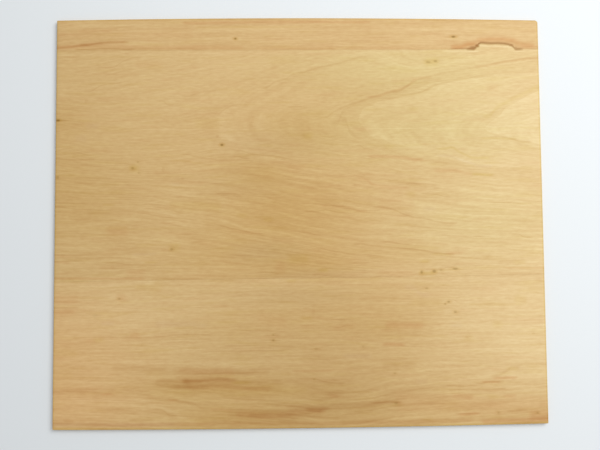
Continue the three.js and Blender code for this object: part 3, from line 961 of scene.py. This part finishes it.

# Broad soft patches in each leaf, in the same form. They are the wood's own tone, partly painted
# sheen at the right end, and partly painted shadow over the middle and towards the near edge.
NARROW_TONE_AND_SHEEN = [(PALE, [
    # Pale tone; the patch at the right end is partly painted sheen.
    (0, 118, 200, 16, 0.3), (150, 116, 110, 18, 0.75), (-115, 117, 80, 16, 0.3),
])]
WIDE_TONE_AND_LIGHT = [(WARM_TONE_AND_SHADE, [
    # Warm tone; the broad patch over the middle of the leaf is partly painted shadow.
    (-5, 5, 85, 50, 0.75), (-55, -22, 60, 26, 0.3), (15, -25, 60, 16, 0.35), (-148, 30, 40, 60, 0.25),
    (-20, 29, 24, 13, 0.3), (-130, 12, 60, 52, 0.3), (-146, 62, 24, 18, 0.3), (0, 54, 42, 22, 0.5),
    (68, -20, 34, 14, 0.4), (-5, -31, 55, 12, 0.35), (-36, 32, 36, 20, 0.25),
]), (PALE, [
    # Paler wood towards the right end, partly painted sheen.
    (140, -5, 130, 80, 1.3), (150, 70, 110, 60, 0.6), (105, 80, 70, 34, 0.35), (110, 102, 120, 26, 0.9),
    (148, -24, 36, 22, 0.4), (-20, 100, 120, 18, 0.3), (-75, 78, 60, 24, 0.25), (-70, 97, 80, 14, 0.2),
    (52, 92, 56, 20, 0.4), (72, 41, 26, 14, 0.4), (112, 18, 60, 18, 0.25),
]), (PAINTED_SHADE_GREY, [
    # Painted shadow over the middle of the leaf.
    (-18, 46, 56, 20, 0.4), (-36, 22, 50, 16, 0.25), (-20, -20, 36, 13, 0.55), (4, -34, 62, 9, 0.5),
]), (YELLOW, [
    (80, 56, 130, 40, 0.9), (110, 0, 90, 40, 0.6), (70, 94, 130, 26, 0.9),
])]
LOWER_TONE_AND_LIGHT = [(WARM_TONE_AND_SHADE, [
    # Warm tone; the broad patches over the bottom middle are partly painted shadow.
    (0, -118, 120, 24, 0.45), (10, -95, 95, 60, 0.4), (20, -55, 90, 34, 0.3), (-58, -101, 66, 13, 0.6),
    (-50, -119, 54, 12, 0.35), (-50, -64, 36, 13, 0.25), (58, -66, 44, 14, 0.25),
    (-78, -105, 26, 12, 0.2), (0, -103, 76, 10, 0.15),
]), (PALE, [
    # Paler wood towards the right end, partly painted sheen.
    (150, -66, 110, 60, 1.7), (-100, -55, 90, 30, 0.6), (150, -44, 50, 20, 0.35),
    (150, -96, 46, 36, 0.4), (98, -45, 50, 14, 0.3), (-115, -88, 50, 16, 0.2),
]), (GLOW, [
    (-150, -85, 90, 70, 0.7), (-150, -114, 90, 26, 0.4),
]), (PAINTED_SHADE_GREY, [
    # Painted shadow over the middle of the leaf, strongest towards its near edge.
    (5, -88, 110, 60, 0.5), (10, -120, 90, 16, 0.3), (-5, -46, 72, 14, 0.4), (20, -108, 84, 20, 0.3),
])]

# The dark stain in the open seam round the bite, and the marks and spots beside it.
SEAM_HALF = 1.35
SEAM_STRENGTH = 0.75
DARKEST_SEAM = 0.9
BITE_DARK = [
    (0.8, 0.4, 98, 106.7, 104, 106.8, 107, 106.9), (1.3, 0.9, 110.6, 107.6, 111.4, 108.3, 112.8, 109.4),
]
BITE_SPOTS = [
    (109.5, 106.8, 1.7, 1, 0.8), (111.5, 108.5, 1.7, 1.3, 1), (132.8, 108.9, 1.9, 1.1, 0.8),
    (135.6, 107.1, 1.6, 0.9, 0.5),
]
BITE_ORANGE = [
    (3.8, 0.8, 99, 107.6, 104, 109, 110, 110.4, 116, 112, 126, 112.4, 132, 111.8, 137, 110, 143, 108.8),
    (2.4, 0.8, 99, 107.6, 103, 108.4, 108, 109.4), (1.8, 0.6, 115, 112.4, 124, 112.6, 133, 112.2),
    (2.4, 0.2, 138, 110, 146, 108.4),
]
# Pale lines along the wide leaf's edge at the far joint: pale wood, partly a painted highlight on that
# edge.
BITE_PALE_AND_HIGHLIGHT = [
    (0.9, 1, 94, 105.1, 104, 105.1, 110, 105), (1, 1, 114.6, 108.6, 118, 108.4, 124, 108.3, 130, 107.8),
    (0.9, 0.8, 137, 105, 150, 105.2),
]

# How orange the whole narrow leaf is, and how much orange its marks beside the bite add.
NARROW_ORANGE = 0.14
BITE_ORANGE_TINT = 0.65

# The paler wood inside two rings of the flame: its high line and its low line, how softly it
# fades at them, and how pale it is.
PALE_RINGS = [
    ([
        (36, 61.5), (38, 67), (40, 70), (45, 71.5), (48, 73.5), (60, 76), (78, 79.3), (84, 83),
        (97, 86.6), (117, 89.3), (150, 93),
    ], [
        (36, 61), (38, 58.5), (42, 54), (45, 50.5), (54, 48), (64, 45), (84, 41.7), (94, 38.6),
        (102, 34.5), (111, 32.9), (150, 30.5),
    ], 1.3, 0.5),
    ([
        (115, 56.8), (118, 60), (121, 62.2), (125, 65), (128, 69), (134, 72.3), (140, 75.8),
        (150, 80.5),
    ], [
        (115, 55.8), (118, 53.6), (124, 52), (130, 50.6), (136, 49.2), (150, 45.6),
    ], 0.6, 0.6),
]

# Two growth lines that the plain grain under the flame follows, how far the lines to the left of
# the flame climb, and the axis of the flame.
GRAIN_HIGH = [
    (-150, 42), (-110, 37.5), (-70, 39.5), (-40, 43), (0, 37), (25, 33.5), (40, 29.5), (60, 27),
    (80, 24.5), (100, 22), (150, 18),
]
GRAIN_LOW = [
    (-150, 8.5), (-100, 6.8), (-82, 4), (-74, 1.5), (-49, -3), (-34, -7), (-8, -12), (8, -16),
    (30, -21), (60, -24), (98, -26), (150, -28),
]
GRAIN_CLIMB = [(-150, 0), (-138, 2), (-120, 7), (-105, 10.5), (-92, 12.5), (-50, 15)]
FLAME_AXIS = [(-150, 60), (-50, 59), (16, 61.5), (37, 61.5), (74, 56.5), (115, 56.5), (150, 56)]

# The width that the grain between the two growth lines, and from the lower one to the joint,
# would have in straight wood, and the heights over which the climb sets in.
GRAIN_BETWEEN = 33.5
GRAIN_UNDER = 28
CLIMB_START, CLIMB_FULL = 55, 95

# How far back along the flame's axis a ring has run, by its height above the axis, in the steep
# rings to the left and the flat ones to the right, and by its depth below the axis.
STEEP_LEG = [(0, 0), (7.5, 2), (11, 8), (20, 23), (26, 35), (31.5, 50), (35, 62), (50, 130)]
FLAT_LEG = [
    (0, 0), (3.5, 3), (7, 9), (11.5, 22), (15, 32), (18, 44), (23, 54), (27.3, 64), (31, 84),
    (34.5, 102), (38.5, 134), (50, 190),
]
LOWER_LEG = [(0, 0), (3, 1), (7, 4), (11, 9), (14, 24), (18, 50), (23, 80), (30, 150), (100, 850)]

# The steep rings give way to the flat ones between these two x, which lean right with height.
LEG_STEEP, LEG_FLAT = -45, 10
LEG_LEAN = 1.9

# Single rings that show where they turn: their pigment, how much of it they have, and how
# strong they are by where they cross the axis. Then the height about which they turn, and how
# far from it they have faded and are full.
RING_TIPS = [
    (BROWN, 0.13, [
        (-62, 0), (-56, 0.8), (-52, 0), (-34, 0), (-30.5, 0.9), (-27.5, 0), (66, 0), (71.5, 0.7),
        (76, 0), (120, 0),
    ]),
    (PALE, 0.28, [
        (-62, 0), (-52.5, 0), (-49, 0.9), (-45, 0), (-28.5, 0), (-25, 1), (-21, 0), (120, 0),
    ]),
]
TIP_HEIGHT = 58
TIP_END, TIP_FULL = 19, 5

# The rings' spacing, how far they sway, how much shorter their figure is than the plain grain's,
# how strong their thin lines are, and the x over which they take over from the plain grain.
RING_SPACING = 3.4
RING_SWAY = 14
RING_STRETCH = 2.1
RING_THIN = 0.7
FLAME_START, FLAME_FULL = -62, -30

# How far the narrow leaf's grain rises and how close its lines are, how far the lower leaf's
# grain dips, and the heights over which that dip sets in.
NARROW_RISE = [(-150, 0), (-125, 2), (-100, 3), (150, 3.4)]
NARROW_CLOSENESS = 1.2
LOWER_DIP = [
    (-150, 0), (-100, -2), (-74, -4.5), (0, -10), (15, -11.5), (59, -7.5), (90, -5), (150, -1),
]
DIP_START, DIP_FULL = -84, -108


def streaks(g, along, across, seed):
    """The figure of sliced wood, as its broad and its thin part."""
    broad = g.noise(along, across, BROAD_FIGURE, seed, rough=0.6)
    return broad, g.noise(along, across, THIN_FIGURE, seed + THIN_SEED)


def pores(g):
    """The short dark dashes of the vessels, one in a pore and nought between."""
    return g.ramp(g.noise(g.x, g.y, PORE, g.z, detail=1), PORE_START, PORE_FULL)


def rim(g):
    """One on the arris of the sawn edges, fading over the last of the face."""
    long_side = abs(g.y) + g.x * g.x * (FAR_EDGE_BOW / HALF_LENGTH**2)
    nearest = g.maths("MINIMUM", HALF_WIDTH - long_side, HALF_LENGTH - abs(g.x))
    return g.ramp(nearest, RIM_WIDTH, FACE_ARRIS)


def wedge(g, high_line, low_line, soft):
    """One between two lines, fading over the last of the way to each."""
    under_high = g.ramp(g.curve(g.x, high_line) - g.y, 0.0, soft)
    return under_high * g.ramp(g.y - g.curve(g.x, low_line), 0.0, soft)


def figured(g, broad, thin, broad_depth, thin_depth):
    """The plain wood with its figure, and a slow drift of its hue between red and olive."""
    colour = g.tint(PLAIN_BROWN + broad * broad_depth + thin * thin_depth, WOOD, BROWN)
    hue = g.noise(g.x, g.y, HUE_DRIFT, HUE_SEED)
    colour = g.tint(g.ramp(hue, 0.0, DRIFT_SPAN, DRIFT_RED), colour, RED)
    return g.tint(g.ramp(hue, 0.0, -DRIFT_SPAN, DRIFT_OLIVE), colour, OLIVE)


def tone_and_light_patched(g, colour, tone_and_light_patches):
    """Lays a leaf's broad patches over its colour: its tone, painted shadow and painted sheen."""
    for pigment, patches in tone_and_light_patches:
        colour = g.tint(g.patches(patches), colour, pigment)
    return colour


def stained(g, colour, marks):
    """Lays a leaf's marks over its colour, and gives the darkness of the brown ones too."""
    amounts = {name: g.marks(lines) for name, lines in marks.items()}
    for name, amount in amounts.items():
        pigment, depth = PIGMENTS[name]
        colour = g.tint(amount * depth, colour, pigment)
    return colour, amounts["brown"]


def seamed(g, colour, marks):
    """Darkens the open seam round the bite, and any marks beside it."""
    seam = [value for x, rise in BITE_PATH for value in (x, far_joint_line(x) + rise)]
    dark = g.marks([(SEAM_HALF, SEAM_STRENGTH, *seam), *marks])
    dark = g.maths("MINIMUM", dark, DARKEST_SEAM)
    dark = g.maths("MAXIMUM", dark, g.ovals(BITE_SPOTS))
    return g.tint(dark, colour, BITE_STAIN)


def knotted(g, colour, low_y, high_y):
    """Lays the knots between two heights over a colour, each a dark core in a brown halo."""
    cores, halos = [], []
    for x, y, half_x, half_y, _, dark in PIN_KNOTS:
        if low_y < y < high_y:
            cores.append((x, y, half_x, half_y, dark))
            halos.append((x, y, HALO_LENGTH * half_x, HALO_WIDTH * half_y, dark))
    core, halo = g.ovals(cores), g.ovals(halos)
    colour = g.tint(halo * HALO_TINT, colour, KNOT_HALO)
    return g.mix(core * CORE_TINT, colour, KNOT_CORE)


def veneer(g, colour, figure):
    """Adds fibres, pores and the rim to a leaf's colour, and finishes its surface."""
    fine = g.noise(g.x, g.y, FIBRE, g.z, rough=0.6)
    colour = g.tint(fine * FIBRE_TINT, colour, BROWN)
    fleck = g.noise(g.x, g.y, FLECK, g.z + FLECK_SEED)
    colour = g.tint(fleck * FLECK_TINT, colour, BROWN)
    pore = pores(g)
    colour = g.tint(pore * PORE_TINT, colour, BROWN)
    colour = g.tint(rim(g) * RIM_TINT, colour, OLIVE)
    roughness = VENEER_ROUGHNESS + fine * FIBRE_ROUGHNESS + figure * FIGURE_ROUGHNESS
    height = fine * FIBRE_RISE - pore * PORE_DEPTH - figure * FIGURE_DEPTH
    return g.finish(colour, roughness, height, VENEER_BUMP)


def flame(g):
    """The flame's growth coordinate: the x at which each of its rings crosses the axis."""
    axis = g.curve(g.x, FLAME_AXIS)
    above = g.maths("MAXIMUM", g.y - axis, 0.0)
    below = g.maths("MAXIMUM", axis - g.y, 0.0)
    steep, flat = g.curve(above, STEEP_LEG), g.curve(above, FLAT_LEG)
    right = g.ramp(g.x - above * LEG_LEAN, LEG_STEEP, LEG_FLAT)
    return g.x - (steep + (flat - steep) * right) - g.curve(below, LOWER_LEG)


def wide_figure(g, sway):
    """The broad and thin figure of the wide leaf, and how far a point is above the plain grain."""
    high, low = g.curve(g.x, GRAIN_HIGH), g.curve(g.x, GRAIN_LOW)
    between = g.maths("DIVIDE", g.wavy_y - low, high - low, clamp=True)
    over = g.maths("MAXIMUM", g.wavy_y - high, 0.0)
    under = g.maths("MINIMUM", g.wavy_y - low, 0.0) / (low - NEAR_JOINT_LEFT_Y)
    across = between * GRAIN_BETWEEN + over + under * GRAIN_UNDER
    climb = g.curve(g.x, GRAIN_CLIMB) * g.ramp(g.y, CLIMB_START, CLIMB_FULL)
    plain_broad, plain_thin = streaks(g, g.x, across - climb, seed=1.0)

    rings = (flame(g) + sway * RING_SWAY) / RING_SPACING
    ring_broad, ring_thin = streaks(g, g.y * RING_STRETCH, rings, seed=7.0)
    above = g.y - high
    in_flame = g.ramp(g.x, FLAME_START, FLAME_FULL) * g.ramp(above, low=-2, high=6)
    broad = plain_broad + (ring_broad - plain_broad) * in_flame
    thin = plain_thin + (ring_thin * RING_THIN - plain_thin) * in_flame
    return broad, thin, above


def wide_leaf_material():
    g = Graph("wide_leaf")
    sway = g.sway(WIDE_SWAY, seed=2.0, depth=0.9)
    broad, thin, above = wide_figure(g, sway)
    broad_depth = 0.36 + g.ramp(g.x, low=0, high=90, top=0.14)
    thin_depth = 0.9 - g.ramp(above, low=-6, high=8) * 0.4
    colour = figured(g, broad, thin, broad_depth, thin_depth)
    colour = tone_and_light_patched(g, colour, WIDE_TONE_AND_LIGHT)
    for high_line, low_line, soft, pale in PALE_RINGS:
        colour = g.tint(wedge(g, high_line, low_line, soft) * pale, colour, PALE)
    colour, brown = stained(g, colour, WIDE_MARKS)
    colour = g.tint(g.ovals(WIDE_SPOTS) * SPOT_TINT, colour, BROWN)
    rings, turn = flame(g), g.ramp(abs(g.y - TIP_HEIGHT), TIP_END, TIP_FULL)
    for pigment, depth, crossings in RING_TIPS:
        colour = g.tint(g.curve(rings, crossings) * turn * depth, colour, pigment)
    g.wavy_y = g.y
    # Painted highlight, with pale wood, along the wide leaf's edge at the far joint.
    colour = g.tint(g.marks(BITE_PALE_AND_HIGHLIGHT), colour, PALE)
    colour = seamed(g, colour, [])
    colour = knotted(g, colour, NEAR_JOINT_RIGHT_Y, FAR_JOINT_LEFT_Y)
    return veneer(g, colour, broad + brown)


def narrow_leaf_material():
    g = Graph("narrow_leaf")
    g.sway(NARROW_SWAY, seed=4.0, depth=0.5)
    across = (g.wavy_y - g.curve(g.x, NARROW_RISE)) * NARROW_CLOSENESS
    broad, thin = streaks(g, g.x, across, seed=3.0)
    colour = figured(g, broad, thin, broad_depth=0.75, thin_depth=0.55)
    colour = g.tint(NARROW_ORANGE, colour, ORANGE)
    colour = tone_and_light_patched(g, colour, NARROW_TONE_AND_SHEEN)
    colour, brown = stained(g, colour, NARROW_MARKS)
    g.wavy_y = g.y
    colour = g.tint(g.marks(BITE_ORANGE) * BITE_ORANGE_TINT, colour, ORANGE)
    colour = seamed(g, colour, BITE_DARK)
    colour = knotted(g, colour, FAR_JOINT_LEFT_Y, HALF_WIDTH)
    return veneer(g, colour, broad + brown)


def lower_leaf_material():
    g = Graph("lower_leaf")
    g.sway(LOWER_SWAY, seed=6.0, depth=0.9)
    near = g.ramp(g.y, DIP_START, DIP_FULL)
    across = g.wavy_y - g.curve(g.x, LOWER_DIP) * near
    broad, thin = streaks(g, g.x, across, seed=6.0)
    broad_depth = 0.48 + near * 0.42
    thin_depth = 0.65 + near * 0.15
    colour = figured(g, broad, thin, broad_depth, thin_depth)
    colour = tone_and_light_patched(g, colour, LOWER_TONE_AND_LIGHT)
    colour, brown = stained(g, colour, LOWER_MARKS)
    colour = g.tint(g.ovals(LOWER_SPOTS) * SPOT_TINT, colour, BROWN)
    colour = knotted(g, colour, -HALF_WIDTH, NEAR_JOINT_LEFT_Y)
    return veneer(g, colour, broad + brown)


def band_material():
    g = Graph("cross_band")
    grain = g.noise(g.x, g.y, BAND_GRAIN, g.z / BAND_GRAIN[0], detail=3)
    colour = g.tint(BAND_BROWN + grain, WOOD, BROWN)
    return g.finish(colour, BAND_ROUGHNESS + grain * FIBRE_ROUGHNESS, grain, BAND_BUMP)


def back_material():
    g = Graph("back_veneer")
    warp = g.noise(g.x, g.y, BACK_WARP, BACK_SEED, detail=3)
    broad, thin = streaks(g, g.x, g.y + warp * BACK_WARP_DEPTH, BACK_SEED)
    colour = figured(g, broad, thin, broad_depth=0.5, thin_depth=0.4)
    return veneer(g, colour, broad)


# ---- Floor, lamps and camera.

FLOOR_COLOUR = (0.765, 0.795, 0.805, 1)
FLOOR_ROUGHNESS = 0.75
FLOOR_HALF = 3000.0

# The hairline of room between the floor and the sheet.
FLOOR_DROP = 0.02

# The camera as it was fitted to the photo. Its turn is in degrees.
CAMERA_PLACE = (-9.19, -25.09, 411.76)
CAMERA_TURN = (3.0771, -1.1965, -0.4584)
CAMERA_LENS = 40.0
CAMERA_SENSOR = 36.0
CAMERA_NEAREST = 10.0

# A large soft key lamp, in watts, and an even sky that fills its shadows.
KEY_PLACE = (430.0, 315.0, 815.0)
KEY_SIZE = 900.0
KEY_POWER = 8.75
FILL_COLOUR = (0.95, 0.97, 1.0, 1)
FILL_STRENGTH = 0.42


def make_floor():
    z = SHEET_LOW.z - FLOOR_DROP
    signs = [(-1, -1), (1, -1), (1, 1), (-1, 1)]
    corners = [Vector((x * FLOOR_HALF, y * FLOOR_HALF, z)) * MM for x, y in signs]
    mesh = bpy.data.meshes.new("floor")
    mesh.from_pydata(corners, [], [(0, 1, 2, 3)])
    g = Graph("floor")
    g.feed(g.shader.inputs["Base Color"], FLOOR_COLOUR)
    g.feed(g.shader.inputs["Roughness"], FLOOR_ROUGHNESS)
    mesh.materials.append(g.material)
    add_object("floor", mesh)


def make_key():
    lamp = bpy.data.lights.new("key", "AREA")
    lamp.shape = "DISK"
    lamp.size = KEY_SIZE * MM
    lamp.energy = KEY_POWER
    lamp_object = add_object("key", lamp)
    lamp_object.location = Vector(KEY_PLACE) * MM
    lamp_object.rotation_euler = Vector(KEY_PLACE).to_track_quat("Z", "Y").to_euler()


def make_world():
    world = bpy.data.worlds.new("sky")
    world.use_nodes = True
    background = world.node_tree.nodes["Background"]
    background.inputs["Color"].default_value = FILL_COLOUR
    background.inputs["Strength"].default_value = FILL_STRENGTH
    bpy.context.scene.world = world


def make_camera():
    camera = bpy.data.cameras.new("camera")
    camera.lens = CAMERA_LENS
    camera.sensor_width = CAMERA_SENSOR
    camera.clip_start = CAMERA_NEAREST * MM
    camera_object = add_object("camera", camera)
    camera_object.location = Vector(CAMERA_PLACE) * MM
    camera_object.rotation_euler = Euler([math.radians(angle) for angle in CAMERA_TURN])
    bpy.context.scene.camera = camera_object


# ---- The sheet.


def add_piece(piece, material):
    piece.data.materials.append(material)
    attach(piece, "root")
    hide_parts(SHEET)


bpy.context.scene.view_settings.view_transform = "Standard"
make_floor()
make_key()
make_world()
make_camera()

leaves = [
    ("face_leaf_narrow", narrow_leaf_outline(), far_joint, far_edge, narrow_leaf_material()),
    ("face_leaf_wide", wide_leaf_outline(), near_joint, far_joint, wide_leaf_material()),
    ("face_leaf_lower", lower_leaf_outline(), near_edge, near_joint, lower_leaf_material()),
]
for name, outline, low_edge, high_edge, material in leaves:
    inner = face_stations(low_edge, high_edge)
    add_piece(make_ply(name, outline, face_levels(), inner, face_relief), material)
add_piece(make_ply("cross_band", sheet_outline(), band_levels()), band_material())
add_piece(make_ply("back_veneer", sheet_outline(), back_levels()), back_material())
